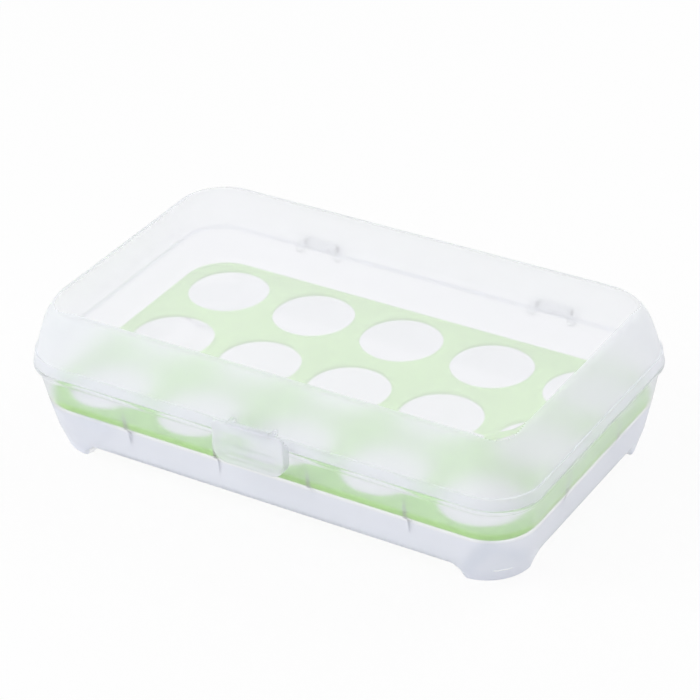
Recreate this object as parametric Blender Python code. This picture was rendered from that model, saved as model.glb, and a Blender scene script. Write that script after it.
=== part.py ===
"""Egg storage box: a footed base, a hinged lid, a lift-out tray with round holes and a front clip.

Units are metres and +Z is up. The clip is at the front, towards -Y, and the hinges are at the back.
Inside this file an inset is the distance of a wall inwards from the outline of the base's rim.
"""
import math

import bmesh
import bpy

MM = 0.001

# Outline of the base's rim, the widest line of the closed box
RIM_LENGTH = 245.0 * MM
RIM_WIDTH = 150.0 * MM
RIM_CORNER_RADIUS = 21.5 * MM
CORNER_LOSS_SHARE = 0.1

# Walls and the gaps between neighbouring pieces
WALL = 1.5 * MM
PART_GAP = 0.3 * MM
TRAY_SIDE_GAP = 0.4 * MM
HINGE_SIDE_GAP = 0.4 * MM
CUT_OVERRUN = 1.0 * MM

# Heights of the base
FLOOR_LIFT = 6.3 * MM
TRAY_SEAT_HEIGHT = 23.1 * MM
RIM_UNDERSIDE_HEIGHT = 38.2 * MM
RIM_FLARE_HEIGHT = 2.0 * MM
RIM_HEIGHT = 3.3 * MM
LIP_HEIGHT = 2.5 * MM

# Insets and edges of the base's wall
WAIST_INSET = 3.8 * MM
UNDER_RIM_INSET = 1.6 * MM
LOWER_WALL_DRAFT = math.radians(10.0)
FLOOR_EDGE_RADIUS = 2.5 * MM
RIM_CHAMFER = 0.5 * MM
LIP_THICKNESS = 1.2 * MM
LIP_SHOULDER_DROP = 2.5 * MM

# Corner feet
FOOT_REACH = 34.5 * MM
FOOT_RAMP = 5.5 * MM
FOOT_INSET = 8.8 * MM
FOOT_TOE = 0.8 * MM
FOOT_TUCK = 0.3 * MM

# Short ribs under the tray's edge
RIB_THICKNESS = 1.6 * MM
RIB_DEPTH = 5.0 * MM
RIB_HEIGHT = 7.0 * MM

# Lid
LID_HEIGHT = 27.7 * MM
LID_BAND_HEIGHT = 5.3 * MM
LID_BAND_INSET = 0.2 * MM
LID_BAND_TOP_INSET = 0.8 * MM
LID_STEP_INSET = 1.4 * MM
LID_DRAFT = math.radians(17.5)
LID_CROWN_RADIUS = 3.6 * MM
LID_CHAMFER = 0.4 * MM

# Egg tray
TRAY_HEIGHT = 2.4 * MM
TRAY_PLATE = 1.6 * MM
TRAY_EDGE_THICKNESS = 1.6 * MM
TRAY_CHAMFER = 0.4 * MM
HOLE_DIAMETER = 37.4 * MM
HOLE_WEB = 8.4 * MM
HOLE_MARGIN = 3.0 * MM

# Hinges at the back
HINGE_SPREAD = 60.0 * MM
HINGE_STANDOFF = 3.2 * MM
HINGE_BAR_RADIUS = 1.5 * MM
HINGE_EYE_WALL = 0.9 * MM
HOOK_WIDTH = 16.0 * MM
LUG_WIDTH = 3.0 * MM
LUG_ROOT_DROP = 4.0 * MM
HOOK_ARM_RISE = 1.2 * MM
HOOK_MOUTH_START = math.radians(-80.0)
HOOK_MOUTH_END = math.radians(-10.0)
ROOT_DEPTH = 2.2 * MM

# Front clip
CLIP_WIDTH = 35.0 * MM
CLIP_HEIGHT = 19.5 * MM
CLIP_TOP_RISE = 1.8 * MM
CLIP_TOP_RADIUS = 2.5 * MM
CLIP_BOTTOM_RADIUS = 7.0 * MM
CLIP_PLATE = 1.3 * MM
CLIP_EDGE = 1.3 * MM
CLIP_STANDOFF = 2.2 * MM
CLIP_PIVOT_RISE = 1.0 * MM
CLIP_BAR_RADIUS = 0.8 * MM
CLIP_LUG_RADIUS = 1.1 * MM
CLIP_LUG_WIDTH = 2.0 * MM
CLIP_KNUCKLE_WIDTH = 17.6 * MM
CLIP_KNUCKLE_WALL = 0.5 * MM
CLIP_MOUTH_HALF_ANGLE = math.radians(35.0)
CLIP_WEB_ANGLE = math.radians(135.0)
CLIP_EDGE_DROP = 1.8 * MM
NOSE_WIDTH = 24.0 * MM
NOSE_THICKNESS = 1.5 * MM
NOSE_DROP = 0.4 * MM

# Fineness of the round stretches, and the bend from which an edge is shaded sharp
SHARP_ANGLE = math.radians(30.0)
CORNER_SEGMENTS = 8
EDGE_SEGMENTS = 4
EYE_SEGMENTS = 20
HOLE_SEGMENTS = 36

# Places worked out from the sizes above
HALF_LENGTH = RIM_LENGTH / 2
HALF_WIDTH = RIM_WIDTH / 2
RIM_TOP = RIM_UNDERSIDE_HEIGHT + RIM_HEIGHT
LID_BOTTOM = RIM_TOP + PART_GAP
LID_TOP = LID_BOTTOM + LID_HEIGHT
BAND_TOP = LID_BOTTOM + LID_BAND_HEIGHT
LID_INNER_INSET = LID_STEP_INSET + WALL / math.cos(LID_DRAFT)
LIP_OUTER_INSET = LID_INNER_INSET + PART_GAP
TRAY_BOTTOM = TRAY_SEAT_HEIGHT + PART_GAP
TRAY_TOP = TRAY_BOTTOM + TRAY_HEIGHT
TRAY_OFFSET = WALL + TRAY_SIDE_GAP
HOLE_PITCH = HOLE_DIAMETER + HOLE_WEB

HINGE_EYE_RADIUS = HINGE_BAR_RADIUS + PART_GAP + HINGE_EYE_WALL
HINGE_Y = HALF_WIDTH + HINGE_STANDOFF
HINGE_Z = (RIM_TOP + LID_BOTTOM) / 2

BAND_FACE = HALF_WIDTH - LID_BAND_INSET
CLIP_Y = -(BAND_FACE + CLIP_STANDOFF)
CLIP_Z = BAND_TOP + CLIP_PIVOT_RISE
CLIP_INNER_FACE = CLIP_Y - CLIP_LUG_RADIUS - PART_GAP
CLIP_OUTER_FACE = CLIP_INNER_FACE - CLIP_PLATE

# The origin is under the middle of the whole box, with the clip and the hinges counted
BODY_SHIFT_Y = -(CLIP_OUTER_FACE + HINGE_Y + HINGE_EYE_RADIUS) / 2

HINGE_PIVOT = (0.0, HINGE_Y, HINGE_Z)
CLIP_PIVOT = (0.0, CLIP_Y, CLIP_Z)
NO_PIVOT = (0.0, 0.0, 0.0)


def clear_scene():
    for obj in list(bpy.data.objects):
        bpy.data.objects.remove(obj)


def plastic(name, color, roughness, alpha):
    material = bpy.data.materials.new(name)
    material.use_nodes = True
    shader = material.node_tree.nodes["Principled BSDF"]
    shader.inputs["Base Color"].default_value = (*color, 1.0)
    shader.inputs["Roughness"].default_value = roughness
    shader.inputs["Metallic"].default_value = 0.0
    shader.inputs["Alpha"].default_value = alpha
    return material


def corner_ring(inset, offset, z):
    """Rounded rectangle at a height, inset from the rim and then offset inwards like a parallel wall."""
    half_x = HALF_LENGTH - inset - offset
    half_y = HALF_WIDTH - inset - offset
    radius = RIM_CORNER_RADIUS - CORNER_LOSS_SHARE * inset - offset
    points = []
    for quarter in range(4):
        start = quarter * math.pi / 2
        side_x = 1 if quarter in (0, 3) else -1
        side_y = 1 if quarter in (0, 1) else -1
        for step in range(CORNER_SEGMENTS + 1):
            angle = start + step * math.pi / 2 / CORNER_SEGMENTS
            x = side_x * (half_x - radius) + radius * math.cos(angle)
            y = side_y * (half_y - radius) + radius * math.sin(angle)
            points.append((x, y, z))
    return points


def loft(bm, rings):
    """Skin a row of rings with equal counts and close both ends with flat faces."""
    rows = [[bm.verts.new(point) for point in ring] for ring in rings]
    count = len(rows[0])
    for low, high in zip(rows, rows[1:]):
        for i in range(count):
            j = (i + 1) % count
            bm.faces.new((low[i], low[j], high[j], high[i]))
    bm.faces.new(list(reversed(rows[0])))
    bm.faces.new(rows[-1])


def prism(bm, outline, place, low, high):
    """Carry a flat outline from low to high; place turns (u, v, w) into a point."""
    rings = [[place(u, v, w) for u, v in outline] for w in (low, high)]
    loft(bm, rings)


def along_x(u, v, w):
    return (w, u, v)


def along_y(u, v, w):
    return (u, w, v)


def block(bm, low, high):
    """Box between two corners."""
    outline = [(low[0], low[1]), (high[0], low[1]), (high[0], high[1]), (low[0], high[1])]
    loft(bm, [[(x, y, z) for x, y in outline] for z in (low[2], high[2])])


def arc(center_u, center_v, radius, start, end, segments):
    """Points on a circle from one angle to another, both ends included."""
    points = []
    for step in range(segments + 1):
        angle = start + (end - start) * step / segments
        points.append((center_u + radius * math.cos(angle), center_v + radius * math.sin(angle)))
    return points


def add_object(name, bm, material, pivot=NO_PIVOT, parent=None, parent_pivot=NO_PIVOT):
    """Make an object whose origin is its pivot from a mesh drawn in the box's own coordinates."""
    bmesh.ops.recalc_face_normals(bm, faces=bm.faces)
    bmesh.ops.translate(bm, verts=bm.verts, vec=[-value for value in pivot])
    mesh = bpy.data.meshes.new(name)
    bm.to_mesh(mesh)
    bm.free()
    if material:
        mesh.materials.append(material)
    obj = bpy.data.objects.new(name, mesh)
    bpy.context.collection.objects.link(obj)
    obj.parent = parent
    obj.location = [own - other for own, other in zip(pivot, parent_pivot)]
    return obj


def add_guide(name, bm, parent):
    """Helper solid that only shapes another piece."""
    obj = add_object(name, bm, None, parent=parent)
    obj.hide_render = True
    obj.display_type = 'WIRE'
    return obj


def combine(obj, guide, operation):
    modifier = obj.modifiers.new(guide.name, 'BOOLEAN')
    modifier.operation = operation
    modifier.solver = 'EXACT'
    modifier.object = guide


def settle(obj):
    """Keep the combined shape as the piece's own mesh, sharp along its edges and smooth elsewhere."""
    depsgraph = bpy.context.evaluated_depsgraph_get()
    mesh = bpy.data.meshes.new_from_object(obj.evaluated_get(depsgraph))
    obj.modifiers.clear()
    mesh.shade_smooth()
    mesh.set_sharp_from_angle(angle=SHARP_ANGLE)
    obj.data = mesh


def base_inset(z):
    """Inset of the base's outer wall at a height above its floor edge."""
    if z < TRAY_SEAT_HEIGHT:
        return WAIST_INSET + math.tan(LOWER_WALL_DRAFT) * (TRAY_SEAT_HEIGHT - z)
    rise = (z - TRAY_SEAT_HEIGHT) / (RIM_UNDERSIDE_HEIGHT - TRAY_SEAT_HEIGHT)
    return WAIST_INSET + (UNDER_RIM_INSET - WAIST_INSET) * rise


def floor_edge(shrink):
    """Inset and height pairs of the round between floor and wall; shrink is 0 outside, WALL inside."""
    tangent_z = FLOOR_LIFT + FLOOR_EDGE_RADIUS * (1 - math.sin(LOWER_WALL_DRAFT))
    center_inset = base_inset(tangent_z) + FLOOR_EDGE_RADIUS * math.cos(LOWER_WALL_DRAFT)
    center_z = FLOOR_LIFT + FLOOR_EDGE_RADIUS
    points = []
    for u, v in arc(0, 0, FLOOR_EDGE_RADIUS - shrink, -math.pi / 2, -LOWER_WALL_DRAFT, EDGE_SEGMENTS):
        points.append((center_inset - u, center_z + v))
    return points


def lid_crown(shrink):
    """Inset and height pairs of the round between the lid's wall and its top."""
    tangent_z = LID_TOP - LID_CROWN_RADIUS * (1 - math.sin(LID_DRAFT))
    tangent_inset = LID_STEP_INSET + math.tan(LID_DRAFT) * (tangent_z - BAND_TOP)
    center_inset = tangent_inset + LID_CROWN_RADIUS * math.cos(LID_DRAFT)
    center_z = LID_TOP - LID_CROWN_RADIUS
    points = []
    for u, v in arc(0, 0, LID_CROWN_RADIUS - shrink, LID_DRAFT, math.pi / 2, EDGE_SEGMENTS):
        points.append((center_inset - u, center_z + v))
    return points


def outer_rings(profile):
    return [corner_ring(inset, 0, z) for inset, z in profile]


def inner_rings(profile, thickness):
    """Rings of the wall's inner side, whose corners are those of the outer side moved inwards."""
    return [corner_ring(inset - thickness, thickness, z) for inset, z in profile]


def base_shell(bm):
    """Open tub: up the outside, over the rim and its lip, and down the inside to the floor."""
    outside = floor_edge(0)
    outside.append((WAIST_INSET, TRAY_SEAT_HEIGHT))
    outside.append((UNDER_RIM_INSET, RIM_UNDERSIDE_HEIGHT))
    outside.append((0, RIM_UNDERSIDE_HEIGHT + RIM_FLARE_HEIGHT))
    outside.append((0, RIM_TOP - RIM_CHAMFER))
    outside.append((RIM_CHAMFER, RIM_TOP))
    lip_inner = LIP_OUTER_INSET + LIP_THICKNESS
    lip = [(LIP_OUTER_INSET, RIM_TOP), (LIP_OUTER_INSET, RIM_TOP + LIP_HEIGHT)]
    lip_back = [(lip_inner, RIM_TOP + LIP_HEIGHT), (lip_inner, RIM_TOP)]
    shoulder_z = RIM_TOP - LIP_SHOULDER_DROP
    under_rim_z = min(shoulder_z, RIM_UNDERSIDE_HEIGHT)
    inside = [(base_inset(under_rim_z) + WALL, shoulder_z)]
    inside.append((WAIST_INSET + WALL, TRAY_SEAT_HEIGHT))
    inside.extend(reversed(floor_edge(WALL)))
    rings = outer_rings(outside)
    rings.extend(inner_rings(lip, LIP_OUTER_INSET))
    rings.extend(inner_rings(lip_back, lip_inner))
    rings.extend(inner_rings(inside, WALL))
    loft(bm, rings)


def floor_edge_inset(z):
    """Inset of the outer round at a height between the floor's underside and the wall."""
    points = floor_edge(0)
    for (inset_low, z_low), (inset_high, z_high) in zip(points, points[1:]):
        if z <= z_high:
            share = (z - z_low) / (z_high - z_low)
            return inset_low + share * (inset_high - inset_low)
    return base_inset(z)


def foot_blocks(bm, shift, low, high):
    """Four ramped corner blocks whose inner sides lean outwards going down."""
    for side_x in (-1, 1):
        for side_y in (-1, 1):
            rings = []
            for z in (low, high):
                ramp = FOOT_RAMP * (1 - z / FLOOR_LIFT)
                start_x = HALF_LENGTH - FOOT_REACH + ramp + shift
                start_y = HALF_WIDTH - FOOT_REACH + ramp + shift
                end_x = HALF_LENGTH + CUT_OVERRUN
                end_y = HALF_WIDTH + CUT_OVERRUN
                outline = [(start_x, start_y), (end_x, start_y), (end_x, end_y), (start_x, end_y)]
                rings.append([(side_x * x, side_y * y, z) for x, y in outline])
            loft(bm, rings)


def foot_outside(bm):
    """Sloping ring under the whole edge, which the corner blocks then cut down to four feet."""
    top = FLOOR_LIFT + WALL / 2
    tuck = floor_edge_inset(top) + FOOT_TUCK
    toe_share = FOOT_TOE / top
    toe_inset = FOOT_INSET + toe_share * (tuck - FOOT_INSET)
    loft(bm, outer_rings([(FOOT_INSET + FOOT_TOE, 0), (toe_inset, FOOT_TOE), (tuck, top)]))


def foot_inside(bm):
    top = FLOOR_LIFT + WALL + CUT_OVERRUN
    tuck = floor_edge_inset(FLOOR_LIFT + WALL / 2) + FOOT_TUCK + WALL
    loft(bm, inner_rings([(FOOT_INSET + WALL, WALL), (tuck, top)], WALL))


def shaped_feet(name, draw, shift, low, high, frame):
    """Four corner solids: a sloping ring kept only inside the corner blocks."""
    ring = bmesh.new()
    draw(ring)
    feet = add_guide(name, ring, frame)
    blocks = bmesh.new()
    foot_blocks(blocks, shift, low, high)
    combine(feet, add_guide(name + "_blocks", blocks, frame), 'INTERSECT')
    return feet


def hole_counts():
    """How many holes fit along the tray and across it."""
    inset = base_inset(TRAY_SEAT_HEIGHT) + TRAY_OFFSET
    spans = [2 * (half - inset - HOLE_MARGIN) - HOLE_DIAMETER for half in (HALF_LENGTH, HALF_WIDTH)]
    return [int(span // HOLE_PITCH) + 1 for span in spans]


def centered_steps(count):
    """Places of a row of holes about the middle."""
    return [(i - (count - 1) / 2) * HOLE_PITCH for i in range(count)]


def rib_outline(half):
    """Side view of a rib: a bracket whose back is sunk half into the leaning wall."""
    outline = []
    for z in (TRAY_SEAT_HEIGHT, TRAY_SEAT_HEIGHT - RIB_HEIGHT):
        outline.append((half - base_inset(z) - WALL / 2, z))
    front = half - WAIST_INSET - WALL - RIB_DEPTH
    outline.append((front, TRAY_SEAT_HEIGHT - RIB_THICKNESS))
    outline.append((front, TRAY_SEAT_HEIGHT))
    return outline


def tray_ribs(bm):
    """Short upright ribs between the holes, on which the tray's edge rests."""
    columns, rows = hole_counts()
    half_rib = RIB_THICKNESS / 2
    for side in (-1, 1):
        for x in centered_steps(columns - 1):
            outline = [(side * u, v) for u, v in rib_outline(HALF_WIDTH)]
            prism(bm, outline, along_x, x - half_rib, x + half_rib)
        for y in centered_steps(rows - 1):
            outline = [(side * u, v) for u, v in rib_outline(HALF_LENGTH)]
            prism(bm, outline, along_y, y - half_rib, y + half_rib)


def hinge_lug_outline():
    """Round eye on the hinge axis, with a root that runs into the base's rim."""
    top_z = RIM_TOP - RIM_CHAMFER
    start = math.pi + math.asin((HINGE_Z - top_z) / HINGE_EYE_RADIUS)
    outline = arc(HINGE_Y, HINGE_Z, HINGE_EYE_RADIUS, start, -math.pi / 2, EYE_SEGMENTS)
    root_y = HALF_WIDTH - ROOT_DEPTH
    outline.append((root_y, HINGE_Z - LUG_ROOT_DROP))
    outline.append((root_y, top_z))
    return outline


def hinge_lugs(bm):
    inner = HOOK_WIDTH / 2 + HINGE_SIDE_GAP
    for center in (-HINGE_SPREAD, HINGE_SPREAD):
        for side in (-1, 1):
            ends = sorted((center + side * inner, center + side * (inner + LUG_WIDTH)))
            prism(bm, hinge_lug_outline(), along_x, *ends)


def hinge_bars(bm):
    half = HOOK_WIDTH / 2 + HINGE_SIDE_GAP + LUG_WIDTH / 2
    outline = arc(HINGE_Y, HINGE_Z, HINGE_BAR_RADIUS, 0, 2 * math.pi, EYE_SEGMENTS)[:-1]
    for center in (-HINGE_SPREAD, HINGE_SPREAD):
        prism(bm, outline, along_x, center - half, center + half)


def add_base(frame, material):
    bm = bmesh.new()
    base_shell(bm)
    base = add_object("base_tub", bm, material, parent=frame)
    feet = shaped_feet("feet_outside", foot_outside, 0, -CUT_OVERRUN, FLOOR_LIFT + WALL, frame)
    combine(base, feet, 'UNION')
    ramp_wall = WALL * math.hypot(FOOT_RAMP, FLOOR_LIFT) / FLOOR_LIFT
    top = FLOOR_LIFT + WALL + 2 * CUT_OVERRUN
    hollow = shaped_feet("feet_inside", foot_inside, ramp_wall, 0, top, frame)
    combine(base, hollow, 'DIFFERENCE')
    for name, draw in (("ribs", tray_ribs), ("lugs", hinge_lugs), ("bars", hinge_bars)):
        bm = bmesh.new()
        draw(bm)
        combine(base, add_guide("base_" + name, bm, frame), 'UNION')
    return base


def lid_shell(bm):
    """Open cover: down the inside from the top, round the bottom edge and up the outside."""
    inside = list(reversed(lid_crown(WALL)))
    band = [(LID_INNER_INSET, BAND_TOP), (LID_INNER_INSET, LID_BOTTOM)]
    outside = [(LID_BAND_INSET + LID_CHAMFER, LID_BOTTOM)]
    outside.append((LID_BAND_INSET, LID_BOTTOM + LID_CHAMFER))
    outside.append((LID_BAND_TOP_INSET, BAND_TOP - LID_CHAMFER))
    outside.append((LID_BAND_TOP_INSET + LID_CHAMFER, BAND_TOP))
    outside.append((LID_STEP_INSET, BAND_TOP))
    outside.extend(lid_crown(0))
    rings = inner_rings(inside, WALL)
    rings.extend(inner_rings(band, LID_INNER_INSET))
    rings.extend(outer_rings(outside))
    loft(bm, rings)


def hook_outline():
    """Open eye round the hinge bar, with an arm that runs into the lid's band."""
    bore = HINGE_BAR_RADIUS + PART_GAP
    arm_z = LID_BOTTOM + PART_GAP
    join = math.pi - math.asin((arm_z - HINGE_Z) / HINGE_EYE_RADIUS)
    mouth_far = HOOK_MOUTH_START + 2 * math.pi
    root_y = HALF_WIDTH - ROOT_DEPTH
    outline = arc(HINGE_Y, HINGE_Z, HINGE_EYE_RADIUS, HOOK_MOUTH_END, math.pi / 2, EYE_SEGMENTS // 2)
    outline.append((root_y, HINGE_Z + HINGE_EYE_RADIUS + HOOK_ARM_RISE))
    outline.append((root_y, arm_z))
    outline.extend(arc(HINGE_Y, HINGE_Z, HINGE_EYE_RADIUS, join, mouth_far, EYE_SEGMENTS // 2))
    outline.extend(arc(HINGE_Y, HINGE_Z, bore, mouth_far, HOOK_MOUTH_END, EYE_SEGMENTS))
    return outline


def hinge_hooks(bm):
    for center in (-HINGE_SPREAD, HINGE_SPREAD):
        prism(bm, hook_outline(), along_x, center - HOOK_WIDTH / 2, center + HOOK_WIDTH / 2)


def clip_lugs(bm):
    """Two short arms with round ends that hold the clip's bar in front of the lid's band."""
    outline = arc(CLIP_Y, CLIP_Z, CLIP_LUG_RADIUS, math.pi / 2, 3 * math.pi / 2, EYE_SEGMENTS // 2)
    root_y = -(BAND_FACE - ROOT_DEPTH)
    outline.append((root_y, CLIP_Z - CLIP_LUG_RADIUS))
    outline.append((root_y, CLIP_Z + CLIP_LUG_RADIUS))
    inner = CLIP_KNUCKLE_WIDTH / 2 + HINGE_SIDE_GAP
    for side in (-1, 1):
        ends = sorted((side * inner, side * (inner + CLIP_LUG_WIDTH)))
        prism(bm, outline, along_x, *ends)


def clip_bar(bm):
    half = CLIP_KNUCKLE_WIDTH / 2 + HINGE_SIDE_GAP + CLIP_LUG_WIDTH / 2
    outline = arc(CLIP_Y, CLIP_Z, CLIP_BAR_RADIUS, 0, 2 * math.pi, EYE_SEGMENTS)[:-1]
    prism(bm, outline, along_x, -half, half)


def add_lid(frame, material):
    bm = bmesh.new()
    lid_shell(bm)
    lid = add_object("lid_cover", bm, material, HINGE_PIVOT, frame)
    for name, draw in (("hooks", hinge_hooks), ("clip_lugs", clip_lugs), ("clip_bar", clip_bar)):
        bm = bmesh.new()
        draw(bm)
        combine(lid, add_guide("lid_" + name, bm, frame), 'UNION')
    return lid


def tray_ring(extra, z):
    return corner_ring(WAIST_INSET, TRAY_OFFSET + extra, z)


def tray_holes(bm):
    columns, rows = hole_counts()
    for x in centered_steps(columns):
        for y in centered_steps(rows):
            circle = arc(x, y, HOLE_DIAMETER / 2, 0, 2 * math.pi, HOLE_SEGMENTS)[:-1]
            ends = (TRAY_BOTTOM - CUT_OVERRUN, TRAY_TOP + CUT_OVERRUN)
            loft(bm, [[(u, v, z) for u, v in circle] for z in ends])


def add_tray(frame, material):
    """Flat plate with a turned-down edge: the hollow under it is the plate's underside."""
    bm = bmesh.new()
    under = TRAY_TOP - TRAY_PLATE
    rings = [tray_ring(TRAY_EDGE_THICKNESS, under), tray_ring(TRAY_EDGE_THICKNESS, TRAY_BOTTOM)]
    rings.append(tray_ring(0, TRAY_BOTTOM))
    rings.append(tray_ring(0, TRAY_TOP - TRAY_CHAMFER))
    rings.append(tray_ring(TRAY_CHAMFER, TRAY_TOP))
    loft(bm, rings)
    tray = add_object("egg_tray", bm, material, parent=frame)
    cuts = bmesh.new()
    tray_holes(cuts)
    combine(tray, add_guide("egg_holes", cuts, frame), 'DIFFERENCE')
    return tray


def clip_outline(shrink):
    """Front view of the clip: small rounds at the top and large ones at the bottom."""
    half = CLIP_WIDTH / 2 - shrink
    top = CLIP_Z + CLIP_TOP_RISE - shrink
    bottom = CLIP_Z + CLIP_TOP_RISE - CLIP_HEIGHT + shrink
    small = CLIP_TOP_RADIUS - shrink
    large = CLIP_BOTTOM_RADIUS - shrink
    quarter = math.pi / 2
    outline = arc(half - small, top - small, small, 0, quarter, CORNER_SEGMENTS)
    outline.extend(arc(small - half, top - small, small, quarter, 2 * quarter, CORNER_SEGMENTS))
    outline.extend(arc(large - half, bottom + large, large, 2 * quarter, 3 * quarter, CORNER_SEGMENTS))
    outline.extend(arc(half - large, bottom + large, large, 3 * quarter, 4 * quarter, CORNER_SEGMENTS))
    return outline


def knuckle_outline():
    """Open eye round the clip's bar, with a web that runs into the plate."""
    bore = CLIP_BAR_RADIUS + PART_GAP
    radius = bore + CLIP_KNUCKLE_WALL
    mouth = CLIP_MOUTH_HALF_ANGLE
    web = CLIP_WEB_ANGLE
    web_y = CLIP_INNER_FACE - CLIP_PLATE / 2
    outline = arc(CLIP_Y, CLIP_Z, radius, mouth, web, EYE_SEGMENTS // 2)
    outline.append((web_y, CLIP_Z + radius * math.sin(web)))
    outline.append((web_y, CLIP_Z - radius * math.sin(web)))
    outline.extend(arc(CLIP_Y, CLIP_Z, radius, -web, -mouth, EYE_SEGMENTS // 2))
    outline.extend(arc(CLIP_Y, CLIP_Z, bore, -mouth, mouth - 2 * math.pi, EYE_SEGMENTS))
    return outline


def add_clip(frame, lid, material):
    """Plate with turned-in edges below the bar, an open knuckle at the top and a nose behind."""
    edge_face = -(HALF_WIDTH + PART_GAP)
    bm = bmesh.new()
    prism(bm, clip_outline(0), along_y, CLIP_OUTER_FACE, edge_face)
    clip = add_object("front_clip", bm, material, CLIP_PIVOT, lid, HINGE_PIVOT)
    pocket = bmesh.new()
    prism(pocket, clip_outline(CLIP_EDGE), along_y, CLIP_INNER_FACE, edge_face + CUT_OVERRUN)
    combine(clip, add_guide("clip_pocket", pocket, frame), 'DIFFERENCE')
    relief = bmesh.new()
    reach = CLIP_WIDTH / 2 + CUT_OVERRUN
    low = (-reach, CLIP_INNER_FACE, CLIP_Z - CLIP_EDGE_DROP)
    high = (reach, edge_face + 2 * CUT_OVERRUN, CLIP_Z + CLIP_TOP_RISE + CUT_OVERRUN)
    block(relief, low, high)
    combine(clip, add_guide("clip_relief", relief, frame), 'DIFFERENCE')
    knuckle = bmesh.new()
    prism(knuckle, knuckle_outline(), along_x, -CLIP_KNUCKLE_WIDTH / 2, CLIP_KNUCKLE_WIDTH / 2)
    combine(clip, add_guide("clip_knuckle", knuckle, frame), 'UNION')
    nose = bmesh.new()
    nose_top = RIM_UNDERSIDE_HEIGHT - NOSE_DROP
    low = (-NOSE_WIDTH / 2, CLIP_INNER_FACE - CLIP_PLATE / 2, nose_top - NOSE_THICKNESS)
    high = (NOSE_WIDTH / 2, edge_face, nose_top)
    block(nose, low, high)
    combine(clip, add_guide("clip_nose", nose, frame), 'UNION')
    return clip


def main():
    clear_scene()
    frame = bpy.data.objects.new("box_frame", None)
    bpy.context.collection.objects.link(frame)
    frame.location = (0.0, BODY_SHIFT_Y, 0.0)
    tub_plastic = plastic("translucent_plastic", (0.84, 0.89, 0.90), 0.35, 0.45)
    lid_plastic = plastic("clear_plastic", (0.90, 0.93, 0.94), 0.20, 0.30)
    clip_plastic = plastic("clip_plastic", (0.86, 0.91, 0.92), 0.25, 0.50)
    tray_plastic = plastic("green_plastic", (0.60, 0.82, 0.46), 0.45, 1.0)
    lid = add_lid(frame, lid_plastic)
    pieces = [lid, add_base(frame, tub_plastic), add_tray(frame, tray_plastic)]
    pieces.append(add_clip(frame, lid, clip_plastic))
    for piece in pieces:
        settle(piece)
    for guide in [obj for obj in bpy.data.objects if obj.display_type == 'WIRE']:
        bpy.data.objects.remove(guide)


main()
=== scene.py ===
# %% [markdown]
# # An egg box in clear and frosted plastic
# The box has four moulded pieces: a footed tub, a green tray with fifteen round holes, a hinged
# lid with a clear top, and a small clip at the front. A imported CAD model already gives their
# places and sizes, and it is loaded first. Everything below is a finer surface that stands for
# one of its pieces, so nothing has to be moved or fitted by hand.

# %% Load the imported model
import math

import bmesh
import bpy
import numpy as np
from mathutils import Matrix, Vector


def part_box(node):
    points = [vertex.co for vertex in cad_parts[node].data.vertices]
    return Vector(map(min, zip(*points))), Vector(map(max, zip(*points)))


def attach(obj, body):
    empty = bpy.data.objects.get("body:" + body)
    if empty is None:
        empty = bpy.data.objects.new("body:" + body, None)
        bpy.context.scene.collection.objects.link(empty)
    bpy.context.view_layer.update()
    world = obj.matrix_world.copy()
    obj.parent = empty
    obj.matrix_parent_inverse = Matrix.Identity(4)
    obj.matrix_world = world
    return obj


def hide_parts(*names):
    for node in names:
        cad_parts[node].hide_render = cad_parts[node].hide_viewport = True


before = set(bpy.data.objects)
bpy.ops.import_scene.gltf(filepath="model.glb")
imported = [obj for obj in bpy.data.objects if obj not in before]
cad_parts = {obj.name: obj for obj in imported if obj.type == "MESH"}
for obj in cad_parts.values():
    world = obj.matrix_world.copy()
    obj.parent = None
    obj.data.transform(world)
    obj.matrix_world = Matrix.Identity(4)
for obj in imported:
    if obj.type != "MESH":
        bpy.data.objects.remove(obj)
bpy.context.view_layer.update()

MM = 0.001

# %% [markdown]
# # Walls as profiles carried round a track
# Seen from above, every wall of the box is a rounded rectangle. So a wall is made by carrying its
# section round that track: each point of the section is an inset from the rim and a height, and
# each column of the track is a place along it and a direction. A surface is then one numpy
# expression of two parameters, and all its points are worked out at once. Spinning or extruding by
# hand would also work, but a formula keeps the inside and the outside of a thin wall in step.

# %% The track round the box
tub_low, tub_high = (np.array(corner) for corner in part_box("base_tub"))
RIM_WIDTH = 150.0 * MM
HALF_X = tub_high[0]
HALF_Y = RIM_WIDTH / 2
CENTER_Y = tub_low[1] + HALF_Y
CORNER_RADIUS = 21.5 * MM
CORNER_LOSS = 0.1
STEADY_X = 75.0 * MM
STEADY_Y = 30.0 * MM
core_x = HALF_X - CORNER_RADIUS
core_y = HALF_Y - CORNER_RADIUS


def make_track(stops_x, stops_y, corner_steps):
    """Columns (x, y, angle) counterclockwise round the box: a corner turns through 90 degrees about
    its centre (+-core_x, +-core_y), and a side keeps its angle while x or y runs between them."""
    turn = np.linspace(0, np.pi / 2, corner_steps + 1)
    parts = []
    for quarter, (side_x, side_y) in enumerate(((1, 1), (-1, 1), (-1, -1), (1, -1))):
        angle = quarter * np.pi / 2 + turn
        parts.append(np.stack([0 * turn + side_x * core_x, 0 * turn + side_y * core_y, angle], axis=1))
        along_x = quarter % 2 == 0
        stops = -side_x * stops_x if along_x else -side_y * stops_y
        fixed = 0 * stops + (side_y * core_y if along_x else side_x * core_x)
        pair = (stops, fixed) if along_x else (fixed, stops)
        parts.append(np.stack([*pair, 0 * stops + angle[-1]], axis=1))
    return np.concatenate(parts).T


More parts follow.
